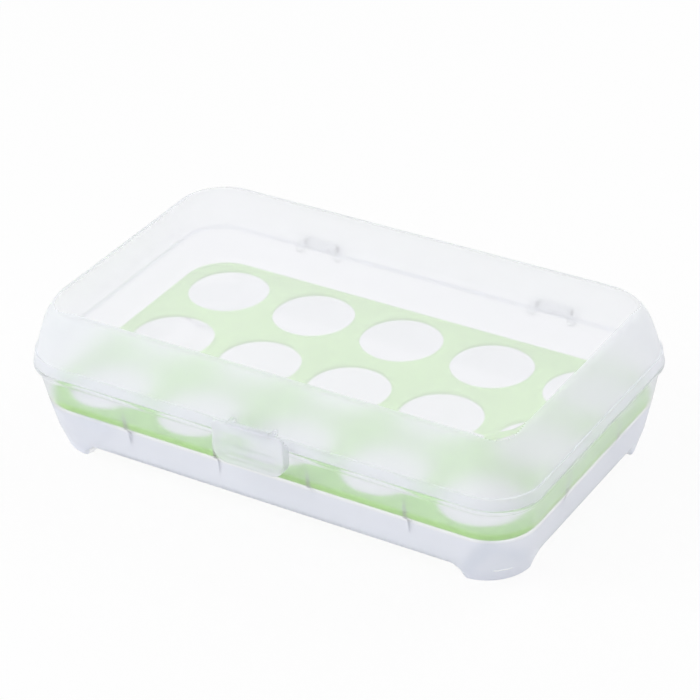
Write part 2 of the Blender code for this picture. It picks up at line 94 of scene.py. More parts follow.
def carry(profile, track):
    """Points of a section carried round a track. A section row is (inset, wall, z): the wall stands
    inset + wall inwards from the rim, and its corner radius is R - loss * inset - wall. Past the
    steady stretch a column moves in step with the corner's centre, so columns never cross."""
    inset, wall, z = (np.asarray(part)[..., None] if np.ndim(part) == 1 else part for part in profile)
    x, y, angle = track
    radius = CORNER_RADIUS - CORNER_LOSS * inset - wall
    core_shift = (1 - CORNER_LOSS) * inset

    def slide(value, steady, core):
        held = np.clip(value, -steady, steady)
        return held + (value - held) * (1 - core_shift / (core - steady))

    px = slide(x, STEADY_X, core_x) + radius * np.cos(angle)
    py = slide(y, STEADY_Y, core_y) + radius * np.sin(angle)
    return np.stack(np.broadcast_arrays(px, py + CENTER_Y, z), axis=-1)

# %% [markdown]
# # Soft edges
# Moulded plastic has no knife edges: every corner of a section is a small round that catches
# light. Each corner is replaced by a short Bezier bend. A holding row on both sides of it keeps
# the flat walls next to it flat when they are shaded smoothly.

# %% Bends in a section
HOLD = 0.05 * MM


def bend_corners(points, tangents, steps=5):
    """Each inner corner P becomes (1-t)^2 A + 2t(1-t) P + t^2 B, where A and B lie one tangent
    length before and after P, with one holding row beyond A and one beyond B."""
    points = np.array(points, float)
    corner = points[1:-1]
    back, ahead = points[:-2] - corner, points[2:] - corner
    back, ahead = (side / np.linalg.norm(side, axis=1, keepdims=True) for side in (back, ahead))
    reach = np.array(tangents, float)[:, None] * MM
    start, end = corner + reach * back, corner + reach * ahead
    t = np.linspace(0, 1, steps + 1)[None, :, None]
    bend = (1 - t) ** 2 * start[:, None] + 2 * t * (1 - t) * corner[:, None] + t**2 * end[:, None]
    rows = np.concatenate([(start + HOLD * back)[:, None], bend, (end + HOLD * ahead)[:, None]], axis=1)
    return np.concatenate([points[:1], rows.reshape(-1, points.shape[1]), points[-1:]])


def section(points, tangents, steps=5):
    """A bent section given in millimetres as (inset, wall, z), ready to be carried."""
    return bend_corners(np.array(points) * MM, tangents, steps).T


# %% From grids of points to one closed mesh
def strip(rows):
    """Points of a grid whose rows are closed loops, and the quads between neighbouring rows. A quad
    faces along (direction of the loop) x (direction from row to row)."""
    count, columns = rows.shape[:2]
    here = np.arange(columns)
    after = np.roll(here, -1)
    base = columns * np.arange(count - 1)[:, None]
    quads = np.stack([base + here, base + after, base + columns + after, base + columns + here], axis=-1)
    return rows.reshape(-1, 3), [quads.reshape(-1, 4)]


def skin(rows):
    """The strip closed by a fan to the middle of its first row and one of its last. If the signed
    volume, a sixth of the sum of a . (b x c), is negative, all faces are turned round."""
    points, (quads,) = strip(rows)
    here = np.arange(rows.shape[1])
    after = np.roll(here, -1)
    last = len(points) - len(here)
    low = np.stack([after, here, 0 * here + len(points)], axis=1)
    high = np.stack([last + here, last + after, 0 * here + len(points) + 1], axis=1)
    points = np.concatenate([points, [rows[0].mean(axis=0), rows[-1].mean(axis=0)]])
    triangles = np.concatenate([quads[:, [0, 1, 2]], quads[:, [0, 2, 3]], low, high])
    a, b, c = (points[triangles[:, k]] for k in range(3))
    turned = 1 if np.einsum("ij,ij->", a, np.cross(b, c)) > 0 else -1
    return points, [quads[:, ::turned], low[:, ::turned], high[:, ::turned]]


def make_piece(name, parts, merge=False, small_slot=0):
    """One mesh object at the origin from several parts, each with its points and face arrays. The
    first part is the wall itself, and those after it may take a material slot of their own."""
    points, faces, slots = np.empty((0, 3)), [], []
    for part_points, groups in parts:
        slot = small_slot if faces else 0
        for group in groups:
            faces += (group + len(points)).tolist()
            slots += [slot] * len(group)
        points = np.concatenate([points, part_points])
    mesh = bpy.data.meshes.new(name)
    mesh.from_pydata(points.tolist(), [], faces)
    mesh.polygons.foreach_set("material_index", slots)
    bm = bmesh.new()
    bm.from_mesh(mesh)
    if merge:
        bmesh.ops.remove_doubles(bm, verts=bm.verts, dist=MM / 1000)
    open_edges = sum(not edge.is_manifold for edge in bm.edges)
    bm.to_mesh(mesh)
    bm.free()
    mesh.shade_smooth()
    piece = bpy.data.objects.new(name, mesh)
    bpy.context.collection.objects.link(piece)
    triangles = sum(len(face.vertices) - 2 for face in mesh.polygons)
    print(f"{name}: {triangles} triangles, {open_edges} open edges")
    return piece


# %% [markdown]
# # The footed tub
# The tub is one wall 1.5 mm thick. Its four corner feet are hollow, so the inside follows the
# outside: the floor is a height map that drops to the table where both x and y are near a corner,
# with a slope at the end of each foot. The wall flares out into the rim, and a thin lip stands on
# the rim and slips inside the lid. Twelve short brackets on the inner wall carry the tray.
# Each of these is a term in the same grid, so the tub is one closed surface without any cutting.

# %% Sizes of the tub
WALL = 1.5
FLOOR = 6.3
RIM_TOP = 41.5
TRAY_SEAT = 23.1
FOOT_REACH = 34.5 * MM
FOOT_RAMP = 5.5 * MM
RAMP_WALL = WALL * MM * math.hypot(FOOT_RAMP, FLOOR * MM) / (FLOOR * MM)
HOLE_PITCH = 45.8 * MM
HOLES_X = (np.arange(5) - 2) * HOLE_PITCH
HOLES_Y = (np.arange(3) - 1) * HOLE_PITCH
RIB_HALF = 0.8 * MM
RIB_DRAFT = 0.15 * MM
RIB_FRONT = 10.3 * MM
RIB_LOW, RIB_HIGH = 16.1 * MM, 21.5 * MM


def ribbed_stops(limit, foot_start, ribs):
    """Stops along a side: about 5 mm apart, 1 mm apart where a foot's ramp is, and four at each rib."""
    fine = np.arange(foot_start, limit, MM)
    coarse = np.linspace(-foot_start, foot_start, 2 + int(foot_start / (2.5 * MM)))
    edges = np.array([-RIB_HALF - RIB_DRAFT, -RIB_HALF, RIB_HALF, RIB_HALF + RIB_DRAFT])
    rib_stops = (ribs[:, None] + edges).ravel()
    clear = np.abs(coarse[:, None] - rib_stops).min(axis=1) > RIB_DRAFT
    return np.sort(np.concatenate([-fine[1:], coarse[clear], rib_stops, fine[1:]]))


ribs_x = (HOLES_X[1:] + HOLES_X[:-1]) / 2
ribs_y = (HOLES_Y[1:] + HOLES_Y[:-1]) / 2
stops_x = ribbed_stops(core_x, HALF_X - FOOT_REACH, ribs_x)
stops_y = ribbed_stops(core_y, HALF_Y - FOOT_REACH, ribs_y)
tub_track = make_track(stops_x, stops_y, 24)
print("tub track:", tub_track.shape[1], "columns")


# %% Feet and ribs as shares of the grid
def foot_share(points, shift=0.0):
    """1 over a foot's sole and 0 off it: the smaller of the two ramps (|x| - start) / ramp and
    (|y| - start) / ramp, cut to 0..1 and eased by 3s^2 - 2s^3."""
    over_x = (np.abs(points[..., 0]) - HALF_X + FOOT_REACH - shift) / FOOT_RAMP
    over_y = (np.abs(points[..., 1] - CENTER_Y) - HALF_Y + FOOT_REACH - shift) / FOOT_RAMP
    share = np.clip(np.minimum(over_x, over_y), 0, 1)
    return (share**2 * (3 - 2 * share))[..., None]


def with_feet(floor_rows, foot_rows, shift=0.0):
    """Floor rows pulled down to the foot's own rows by the foot share."""
    floor_points, foot_points = carry(floor_rows, tub_track), carry(foot_rows, tub_track)
    return floor_points + foot_share(floor_points, shift) * (foot_points - floor_points)


COARSE_RINGS = np.linspace(0.02, 0.62, 7)
FINE_RINGS = np.linspace(0.65, 1, 36)[:-1]


def floor_rings(edge, top, drop, shift=0.0):
    """Rings from near the middle to the edge ring: centre + s (edge - centre), at height
    top - drop * share. They lie close together where the feet are."""
    s = np.concatenate([COARSE_RINGS, FINE_RINGS])[:, None, None]
    middle = np.array([0, CENTER_Y, 0])
    rings = middle + s * (edge - middle)
    rings[..., 2] = top - drop * foot_share(rings, shift)[..., 0]
    return rings


x, y, angle = tub_track
on_long_side = np.abs(np.cos(angle)) < 0.001
on_short_side = np.abs(np.sin(angle)) < 0.001
near_rib_x = np.abs(x - ribs_x[:, None]).min(axis=0) < RIB_HALF + RIB_DRAFT / 2
near_rib_y = np.abs(y - ribs_y[:, None]).min(axis=0) < RIB_HALF + RIB_DRAFT / 2
rib_columns = (on_long_side & near_rib_x) | (on_short_side & near_rib_y)
print("columns inside a rib:", int(rib_columns.sum()))

# %% The tub's section, from its underside over the rim to the inside
under_floor = section([(12.2, 0, FLOOR), (10.4, 0, FLOOR), (6.76, 0, FLOOR), (6.02, 0, 10.5)], [0.3, 2.1])
under_foot = section([(12.2, 0, 0), (8.8, 0, 0), (7.55, 0, 5), (6.02, 0, 10.5)], [0.8, 2.0])
over_rim = section(
    [(6.02, 0, 10.5), (3.8, 0, TRAY_SEAT), (1.6, 0, 38.2), (0, 0, 40.2), (0, 0, RIM_TOP),
     (0, 3.273, RIM_TOP), (0, 3.273, 44), (0, 4.473, 44), (0, 4.473, RIM_TOP), (1.6, WALL, 39),
     (3.8, WALL, TRAY_SEAT + 0.15)],
    [3.0, 0.8, 0.6, 0.5, 0.3, 0.35, 0.35, 0.6, 0.8],
)
in_wall = [(3.8, WALL, TRAY_SEAT), (4.08, WALL, 21.5), (5.03, WALL, 16.1), (6.02, WALL, 10.5)]
floor_end = [(6.52, WALL, FLOOR + WALL), (8.9, WALL, FLOOR + WALL), (10.7, WALL, FLOOR + WALL)]
foot_end = [(7.55, WALL, 5), (8.5, WALL, WALL), (10.7, WALL, WALL)]
in_floor = section(in_wall + floor_end, [0.2, 0.2, 0.4, 0.82, 0.3])
in_foot = section(in_wall + foot_end, [0.2, 0.2, 0.4, 1.6, 0.5])
for rows in (in_floor, in_foot):
    print("inner rows:", rows.shape[1])


def ribbed(rows):
    """In a rib's columns the wall grows from its own thickness at the rib's foot to the rib's front
    at its top: wall + share * (front - inset - wall)."""
    inset, wall, z = (part[:, None] for part in rows)
    share = np.clip((z - RIB_LOW) / (RIB_HIGH - RIB_LOW), 0, 1)
    deep = wall + share * np.maximum(RIB_FRONT - inset - wall, 0)
    return inset, np.where(rib_columns, deep, wall), z


outside = with_feet(under_floor, under_foot)
inside = with_feet(ribbed(in_floor), ribbed(in_foot), RAMP_WALL)
tub_rows = np.concatenate([
    floor_rings(outside[0], FLOOR * MM, FLOOR * MM),
    outside,
    carry(over_rim, tub_track)[1:],
    inside,
    floor_rings(inside[-1], (FLOOR + WALL) * MM, FLOOR * MM, RAMP_WALL)[::-1],
])

# %% [markdown]
# # Small moulded parts
# The hinge is a bar between two lugs at the back of the tub, and the lid's open hooks snap over
# it. Such parts are plain outlines pushed out to a width, or a small section swept round a bar.

# %% Outlines pushed out along x, and bands swept round a bar
def disc_arc(center, radius, start, end, steps):
    """Points (y, z) = centre + radius (cos a, sin a), with a from start to end in degrees."""
    a = np.radians(np.linspace(start, end, steps))
    return np.array(center) + radius * np.stack([np.cos(a), np.sin(a)], axis=1)


def push_out(outline, low, high, edge=0.25):
    """An outline (y, z) in mm between x = low and x = high, drawn in towards its middle by the
    edge size at both ends."""
    outline = np.array(outline, float)
    middle = outline.mean(axis=0)
    span = np.abs(outline - middle).max()
    ends = [(low, 1 - edge / span), (low + edge, 1), (high - edge, 1), (high, 1 - edge / span)]
    rows = []
    for place, scale in ends:
        flat = middle + (outline - middle) * scale
        rows.append(np.column_stack([np.full(len(flat), place), flat]))
    return skin((np.array(rows) + [0, CENTER_Y / MM, 0]) * MM)


def swept_band(center, inner, outer, start, end, low, high, edge=0.2):
    """A rectangle (r, x) with cut corners, turned about a bar along x from start to end."""
    r = np.array([inner, inner + edge, outer - edge, outer, outer, outer - edge, inner + edge, inner])
    across = np.array([low + edge, low, low, low + edge, high - edge, high, high, high - edge])
    a = np.radians(np.linspace(start, end, 2 + int(abs(end - start) / 6)))[:, None]
    around = (center[0] + r * np.cos(a), center[1] + r * np.sin(a))
    rows = np.stack(np.broadcast_arrays(across, *around), axis=-1)
    return skin((rows + [0, CENTER_Y / MM, 0]) * MM)


# %% The tub's hinge lugs and bars, and the finished tub
HINGE = (78.2, 41.65)
HINGE_SPREAD = 60.0
EYE_RADIUS = 2.7
HINGE_BAR = 1.5
HOOK_HALF = 8.0
LUG_START, LUG_END = 8.4, 11.4
LUG_ROOT = 72.9
BAR_EDGE = 0.02
lug_outline = np.concatenate([
    disc_arc(HINGE, EYE_RADIUS, 193.9, -90, 30),
    [(LUG_ROOT, HINGE[1] - 3.9), (LUG_ROOT, RIM_TOP - 0.5)],
])
tub_parts = [skin(tub_rows)]
for middle in (-HINGE_SPREAD, HINGE_SPREAD):
    tub_parts.append(push_out(lug_outline, middle - LUG_END, middle - LUG_START))
    tub_parts.append(push_out(lug_outline, middle + LUG_START, middle + LUG_END))
    bar = disc_arc(HINGE, HINGE_BAR, 0, 345, 24)
    tub_parts.append(push_out(bar, middle - LUG_START, middle + LUG_START, BAR_EDGE))
tub = make_piece("tub", tub_parts, small_slot=1)
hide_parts("base_tub")
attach(tub, "base")

# %% [markdown]
# # The green tray
# The tray is a flat plate with fifteen round holes and an edge turned down all round. A plate with
# holes is awkward as one grid, so it is split into fifteen cells, one to a hole. In a cell one
# parameter runs round the hole and the other from the cell's border, over the hole's rounded lip,
# and back along the underside. Neighbouring cells share their border points and are merged.

# %% Borders of the fifteen cells
TRAY_TOP, TRAY_UNDER, TRAY_FOOT = 25.8 * MM, 24.2 * MM, 23.4 * MM
TRAY_EDGE = 1.6 * MM
HOLE_RADIUS = 18.7 * MM
tray_half = np.array(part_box("egg_tray")[1])[:2] - [0, CENTER_Y] - TRAY_EDGE
plate_core = tray_half - (19.22 * MM - TRAY_EDGE)


def outline_distance(points):
    """Signed distance to the plate's rounded outline: |max(q, 0)| + min(max(qx, qy), 0) - radius,
    where q = |p| - the corner centre."""
    q = np.abs(points) - plate_core
    outside = np.linalg.norm(np.maximum(q, 0), axis=-1)
    return outside + np.minimum(q.max(axis=-1), 0) - (tray_half - plate_core)[0]


def cell_borders(steps=18):
    """Border points of every cell, counterclockwise, as an array (cell, point, 2). Outer cells
    reach the outline, and a point past it slides back along its line to the hole's centre."""
    share = np.linspace(-1, 1, steps, endpoint=False)
    one = np.ones_like(share)
    square = np.concatenate([
        np.stack([share, -one], 1), np.stack([one, share], 1),
        np.stack([-share, one], 1), np.stack([-one, -share], 1),
    ])
    centers = np.stack(np.meshgrid(HOLES_X, HOLES_Y, indexing="ij"), axis=-1).reshape(-1, 1, 2)
    low, high = centers - HOLE_PITCH / 2, centers + HOLE_PITCH / 2
    last = np.array([HOLES_X[-1], HOLES_Y[-1]])
    low = np.where(np.isclose(centers, -last), -tray_half, low)
    high = np.where(np.isclose(centers, last), tray_half, high)
    points = (low + high) / 2 + square * (high - low) / 2
    near, far = np.zeros(points.shape[:2]), np.ones(points.shape[:2])
    for _ in range(40):
        middle = (near + far) / 2
        past = outline_distance(centers + middle[..., None] * (points - centers)) > 0
        near, far = np.where(past, near, middle), np.where(past, middle, far)
    outside = outline_distance(points) > 0
    return centers, centers + np.where(outside, near, 1)[..., None] * (points - centers)


centers, borders = cell_borders()
print("cells:", borders.shape[0], "border points each:", borders.shape[1])

# %% The plate: border to lip, through the hole, and back underneath
lip = bend_corners(
    [(0.9 * MM, TRAY_TOP), (0, TRAY_TOP), (0.05 * MM, TRAY_UNDER), (0.9 * MM, TRAY_UNDER)], [0.45, 0.35]
)
toward = (borders - centers) / np.linalg.norm(borders - centers, axis=-1, keepdims=True)
blend = np.array([0, 0.5])
edge_points = centers + (HOLE_RADIUS + lip[0, 0]) * toward
flat = borders + blend[:, None, None, None] * (edge_points - borders)
round_hole = centers + (HOLE_RADIUS + lip[:, 0, None, None, None]) * toward
plate_xy = np.concatenate([flat, round_hole, flat[::-1]])
plate_z = np.concatenate([0 * blend + TRAY_TOP, lip[:, 1], 0 * blend + TRAY_UNDER])
plate_z = np.broadcast_to(plate_z[:, None, None, None], (*plate_xy.shape[:3], 1))
cells = np.moveaxis(np.concatenate([plate_xy + [0, CENTER_Y], plate_z], axis=-1), 1, 0)

# %% The turned-down edge, and the finished tray
on_outline = np.abs(outline_distance(borders)) < MM / 10000
loop = np.unique(np.round(borders[on_outline] / MM, 6), axis=0) * MM
loop = loop[np.argsort(np.arctan2(loop[:, 1], loop[:, 0]))]
q = np.maximum(np.abs(loop) - plate_core, 0) * np.sign(loop)
normal = q / np.linalg.norm(q, axis=1, keepdims=True)
hem = bend_corners(
    [(0, TRAY_UNDER), (0, TRAY_FOOT), (TRAY_EDGE, TRAY_FOOT), (TRAY_EDGE, TRAY_TOP), (0, TRAY_TOP)],
    [0.2, 0.4, 0.45],
)
hem_xy = loop + hem[:, 0, None, None] * normal + [0, CENTER_Y]
hem_z = np.broadcast_to(hem[:, 1, None, None], (*hem_xy.shape[:2], 1))
tray_parts = [strip(cell) for cell in cells]
tray_parts.append(strip(np.concatenate([hem_xy, hem_z], axis=-1)))
tray = make_piece("tray", tray_parts, merge=True)
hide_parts("egg_tray")
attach(tray, "tray")

# %% [markdown]
# # The lid
# The lid is a cover 1.5 mm thick. It starts with a steep band that stands on the rim, steps in by
# half a millimetre, leans inwards by 17.5 degrees with a slight bow, and turns over a soft edge into
# a flat top. It is carried round the same track as the tub, so the two meet all the way round.

# %% The lid's section, from the middle of its inside to the middle of its top
LID_BOTTOM, BAND_TOP, LID_TOP = 41.8, 47.1, 69.5
lid_section = section(
    [(11.5, 1.763, 68), (7.975, 1.763, 68), (5.2, 1.65, 63.2), (2.9, 1.53, 54.5), (0, 2.973, BAND_TOP),
     (0, 2.973, LID_BOTTOM), (0.2, 0, LID_BOTTOM), (0.8, 0, BAND_TOP), (1.4, 0, BAND_TOP), (2.9, 0, 54.5),
     (5.2, 0, 63.5), (8.9, 0, LID_TOP), (12.5, 0, LID_TOP)],
    [1.3, 3.0, 2.5, 0.8, 0.3, 0.4, 0.25, 0.2, 3.0, 3.6, 2.2], 8,
)
lid_track = make_track(
    np.linspace(-core_x, core_x, 42)[1:-1], np.linspace(-core_y, core_y, 24)[1:-1], 24
)
lid_wall = carry(lid_section, lid_track)


def flat_rings(edge):
    """Rings from near the middle out to a flat edge ring."""
    s = np.linspace(0.03, 1, 10)[:-1, None, None]
    middle = np.array([0, CENTER_Y, edge[0, 2]])
    return middle + s * (edge - middle)


lid_rows = np.concatenate([flat_rings(lid_wall[0]), lid_wall, flat_rings(lid_wall[-1])[::-1]])

# %% Hooks for the hinge bars, and lugs with a bar for the clip
CLIP_AXIS = (-77.0, 48.1)
CLIP_BAR, CLIP_BAR_HALF = 0.8, 10.2
CLIP_LUG, CLIP_LUG_START, CLIP_LUG_END = 1.1, 9.2, 11.2
HOOK_BORE = 1.8
lid_parts = [skin(lid_rows)]
arm = [(73.5, 45.5), (78.2, 44.3), (77.07, 43.6), (76.2, 42.7), (75.8, 42.15), (73.5, 42.15)]
for middle in (-HINGE_SPREAD, HINGE_SPREAD):
    ends = (middle - HOOK_HALF, middle + HOOK_HALF)
    lid_parts.append(swept_band(HINGE, HOOK_BORE, EYE_RADIUS, -10, 280, *ends))
    lid_parts.append(push_out(arm, *ends))
lug = np.concatenate([disc_arc(CLIP_AXIS, CLIP_LUG, 90, 270, 16), [(-72.6, 47.0), (-72.6, 49.2)]])
for ends in ((-CLIP_LUG_END, -CLIP_LUG_START), (CLIP_LUG_START, CLIP_LUG_END)):
    lid_parts.append(push_out(lug, *ends))
clip_bar = disc_arc(CLIP_AXIS, CLIP_BAR, 0, 345, 24)
lid_parts.append(push_out(clip_bar, -CLIP_BAR_HALF, CLIP_BAR_HALF, BAR_EDGE))
lid = make_piece("lid", lid_parts, small_slot=2)
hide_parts("lid_cover")
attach(lid, "lid")

# %% [markdown]
# # The front clip
# The clip is a small plate with an edge turned in round its sides and bottom, so it is stiff but
# light. It hangs on the lid's bar by an open knuckle, and a nose on its back catches under the rim.
# Its outline has small rounds at the top and large ones at the bottom, and its section is carried
# round that outline just as the walls were.

# %% The clip's outline and section
CLIP_HALF, CLIP_TOP, CLIP_BOTTOM = 17.5, 49.9, 30.4
TOP_ROUND, BOTTOM_ROUND, LEAST_ROUND = 2.5, 7.0, 0.3
PLATE_BACK, PLATE_FRONT, EDGE_BACK = -78.4, -79.7, -75.3
EDGE_TOP, EDGE_RUN, EDGE_LEAST = 46.5, 0.8, 0.02


def clip_ring(shrink):
    """Outline points (x, z) moved inwards by shrink: corner centre + (R - shrink)(cos a, sin a),
    with six stops along each upright side. A round stays at least 0.3 mm."""
    turn = np.radians(np.linspace(0, 90, 13))
    rounds = []
    for quarter, (side, rise) in enumerate(((1, 1), (-1, 1), (-1, -1), (1, -1))):
        radius = TOP_ROUND if rise > 0 else BOTTOM_ROUND
        center_z = CLIP_TOP - radius if rise > 0 else CLIP_BOTTOM + radius
        a = quarter * np.pi / 2 + turn
        reach = np.maximum(radius - shrink[:, None], LEAST_ROUND)
        pull = shrink[:, None] - radius + reach
        px = side * (CLIP_HALF - radius - pull) + reach * np.cos(a)
        pz = center_z - rise * pull + reach * np.sin(a)
        rounds.append(np.stack([px, pz], axis=-1))
    share = np.linspace(0, 1, 8)[1:-1, None]
    left = rounds[1][:, -1:] + share * (rounds[2][:, :1] - rounds[1][:, -1:])
    right = rounds[3][:, -1:] + share * (rounds[0][:, :1] - rounds[3][:, -1:])
    return np.concatenate([rounds[0], rounds[1], left, rounds[2], rounds[3], right], axis=1)


clip_corners = [
    (4.5, PLATE_BACK), (1.3, PLATE_BACK), (1.3, EDGE_BACK), (0, EDGE_BACK), (0, PLATE_FRONT),
    (4.5, PLATE_FRONT),
]
clip_section = bend_corners(np.array(clip_corners) * MM, [0.4, 0.3, 0.3, 0.9], 6) / MM
ring = clip_ring(clip_section[:, 0])
depth = np.broadcast_to(clip_section[:, 1, None], ring.shape[:2])
# The turned-in edge runs out below the lugs: its depth is taken times (top - z) / run, cut to 1.
low_share = np.clip((EDGE_TOP - ring[..., 1]) / EDGE_RUN, EDGE_LEAST, 1)
depth = np.where(depth > PLATE_BACK, PLATE_BACK + (depth - PLATE_BACK) * low_share, depth)
clip_wall = np.stack([ring[..., 0], depth + CENTER_Y / MM, ring[..., 1]], axis=-1) * MM


def face_rings(edge):
    """Rings that shrink a flat face's edge towards its middle."""
    s = np.linspace(0.05, 1, 6)[:-1, None, None]
    middle = edge.mean(axis=0)
    return middle + s * (edge - middle)


clip_rows = np.concatenate([face_rings(clip_wall[0]), clip_wall, face_rings(clip_wall[-1])[::-1]])

# %% The knuckle and the nose, and the finished clip
KNUCKLE_BORE, KNUCKLE_OUTER, KNUCKLE_HALF = 1.1, 1.6, 8.8
NOSE_HALF = 12
nose = [(-79.05, 36.3), (-75.6, 36.6), (-75.3, 37.0), (-75.3, 37.8), (-79.05, 37.8)]
clip_parts = [
    skin(clip_rows),
    swept_band(CLIP_AXIS, KNUCKLE_BORE, KNUCKLE_OUTER, 35, 325, -KNUCKLE_HALF, KNUCKLE_HALF, 0.12),
    push_out(nose, -NOSE_HALF, NOSE_HALF),
]
clip = make_piece("clip", clip_parts, small_slot=1)
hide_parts("front_clip")
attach(clip, "clip")

# %% [markdown]
# # Writing materials as sums
# A material is a small formula over the surface: where a point lies, how hazy the plastic is
# there, how its tint drifts. Wiring such formulas by hand takes a page of lines, so a wire between
# nodes is wrapped in a class that understands + - and *. Each operator adds one Math node.

# %% Wires that can be added and multiplied
class Wire:
    """The output of a node. An operator on it adds a Math node that takes it and the other value."""

    def __init__(self, recipe, socket):
        self.recipe, self.socket = recipe, socket

    def math(self, operation, *values):
        inputs = dict(enumerate(values))
        return self.recipe.add("ShaderNodeMath", {"operation": operation}, inputs)["Value"]

    def __add__(self, other):
        return self.math("ADD", self, other)

    def __sub__(self, other):
        return self.math("SUBTRACT", self, other)

    def __rsub__(self, other):
        return self.math("SUBTRACT", other, self)

    def __mul__(self, other):
        return self.math("MULTIPLY", self, other)

    def larger(self, other):
        return self.math("MAXIMUM", self, other)

    __radd__ = __add__
    __rmul__ = __mul__


class Recipe:
    """The node tree of one material or of the world."""

    def __init__(self, owner):
        owner.use_nodes = True
        self.owner, self.tree = owner, owner.node_tree
        self.tree.nodes.clear()

    def add(self, kind, settings=None, inputs=None):
        """A node of any kind: its settings are made first, then its sockets get values or wires.
        Returns its outputs by name."""
        node = self.tree.nodes.new(kind)
        for key, value in (settings or {}).items():
            if key == "stops":
                stops = node.color_ramp.elements
                while len(stops) < len(value):
                    stops.new(1.0)
                for stop, (position, grey) in zip(stops, value):
                    stop.position, stop.color = position, (grey, grey, grey, 1.0)
            else:
                setattr(node, key, value)
        for key, value in (inputs or {}).items():
            sockets = [socket for socket in node.inputs if socket.enabled]
            named = (socket for socket in sockets if socket.name == key)
            socket = sockets[key] if isinstance(key, int) else next(named)
            if isinstance(value, Wire):
                self.tree.links.new(value.socket, socket)
            else:
                socket.default_value = value
        return {socket.name: Wire(self, socket) for socket in node.outputs if socket.enabled}

    def ease(self, value, low, high):
        """0 below low, 1 above high, and a smooth step between them."""
        inputs = {"Value": value, "From Min": low, "From Max": high}
        return self.add("ShaderNodeMapRange", {"interpolation_type": "SMOOTHSTEP"}, inputs)["Result"]

    def ramp(self, value, stops):
        """A number that runs straight from stop to stop, each given as (value, result)."""
        return self.add("ShaderNodeValToRGB", {"stops": stops}, {"Fac": value})["Color"]

    def noise(self, place, scale, detail=2.0):
        inputs = {"Vector": place, "Scale": scale, "Detail": detail}
        return self.add("ShaderNodeTexNoise", {}, inputs)["Fac"]

    def mix_colors(self, share, low, high):
        inputs = {"Factor": share, "A": (*low, 1.0), "B": (*high, 1.0)}
        return self.add("ShaderNodeMix", {"data_type": "RGBA"}, inputs)["Result"]

    def finish(self, shader):
        self.add("ShaderNodeOutputMaterial", {}, {"Surface": shader})
        print("material", self.owner.name, "has", len(self.tree.nodes), "nodes")
        return self.owner


def new_recipe(name):
    return Recipe(bpy.data.materials.new(name))


# %% [markdown]
# # Polypropylene, frosted and clear
# The box is moulded from natural polypropylene, which is a little milky: part of the light goes
# through and part comes back from the body of the plastic. Where the mould was etched, the part
# that goes through is blurred too, so things close behind the wall stay sharp and things further
# off dissolve. The lid's top was pressed by a polished mould and blurs nothing. With the plastic's
# real index a blurred refraction loses light at each wall and the edges turn dark, so the refraction
# gets a low index while the gloss on the skin keeps the real one. Hooks, lugs and
# brackets get a lower one still, because they hardly show on a box that is lit from all sides.

# %% One recipe for every moulded wall
IOR_SKIN = 1.49
IOR_WALL = 1.15
IOR_SMALL = 1.04
BOX_TOP = 70
BOX_HEIGHT = BOX_TOP * MM
BOX_MIDDLE = (0, CENTER_Y, BOX_HEIGHT / 2)
INNER_MILK = 0.3
TURN_REACH = 2 * MM
CLOUD_SCALE, GRAIN_SCALE = 24.0, 2600.0
ROUGH_DRIFT, MILK_DRIFT = 0.06, 0.08
SKIN_STRENGTH, SKIN_DEPTH = 0.2, 0.02 * MM


def duller(color, share=0.99):
    return [share * part for part in color]


def plastic(name, tint, body, rough, milk, grain, ior=IOR_WALL):
    """Refraction of the given roughness, mixed on the outer side of every face with a share of milky
    body, given as stops over the box's height. Faces that look into the box, whose normal . (place -
    middle) is below 0, get a small part of it. Tint and roughness drift over some centimetres, and a
    bump of fine grain is the mould's skin."""
    recipe = new_recipe(name)
    surface = recipe.add("ShaderNodeTexCoord")
    place = surface["Object"]
    height = recipe.add("ShaderNodeSeparateXYZ", {}, {"Vector": place})["Z"]
    cloud = recipe.noise(place, CLOUD_SCALE)
    skin_height = recipe.noise(place, GRAIN_SCALE) * grain + cloud
    bump = recipe.add("ShaderNodeBump", {}, {
        "Height": skin_height, "Strength": SKIN_STRENGTH, "Distance": SKIN_DEPTH,
    })
    shared = {"Roughness": rough + (cloud - 0.5) * ROUGH_DRIFT, "Normal": bump["Normal"]}
    clear = recipe.add("ShaderNodeBsdfPrincipled", {}, {
        **shared, "Base Color": recipe.mix_colors(cloud, tint, duller(tint)), "IOR": ior,
        "Transmission Weight": 1.0,
    })
    milky = recipe.add("ShaderNodeBsdfPrincipled", {}, {
        **shared, "Base Color": recipe.mix_colors(cloud, body, duller(body)), "IOR": IOR_SKIN,
    })
    outer = 1 - recipe.add("ShaderNodeNewGeometry")["Backfacing"]
    from_middle = recipe.add("ShaderNodeVectorMath", {"operation": "SUBTRACT"}, {0: place, 1: BOX_MIDDLE})
    outward = recipe.add("ShaderNodeVectorMath", {"operation": "DOT_PRODUCT"}, {
        0: surface["Normal"], 1: from_middle["Vector"],
    })
    facing_out = INNER_MILK + (1 - INNER_MILK) * recipe.ease(outward["Value"], -TURN_REACH, TURN_REACH)
    stops = [(level * MM / BOX_HEIGHT, value) for level, value in milk]
    share = recipe.ramp(height * (1 / BOX_HEIGHT), stops) + (cloud - 0.5) * MILK_DRIFT
    mixed = recipe.add("ShaderNodeMixShader", {}, {
        0: outer * facing_out * share, 1: clear["BSDF"], 2: milky["BSDF"],
    })
    return recipe.finish(mixed["Shader"])


# %% Tub, clip and the two finishes of the lid
def even(share):
    """The same share of milk at every height."""
    return [(0, share), (BOX_TOP, share)]


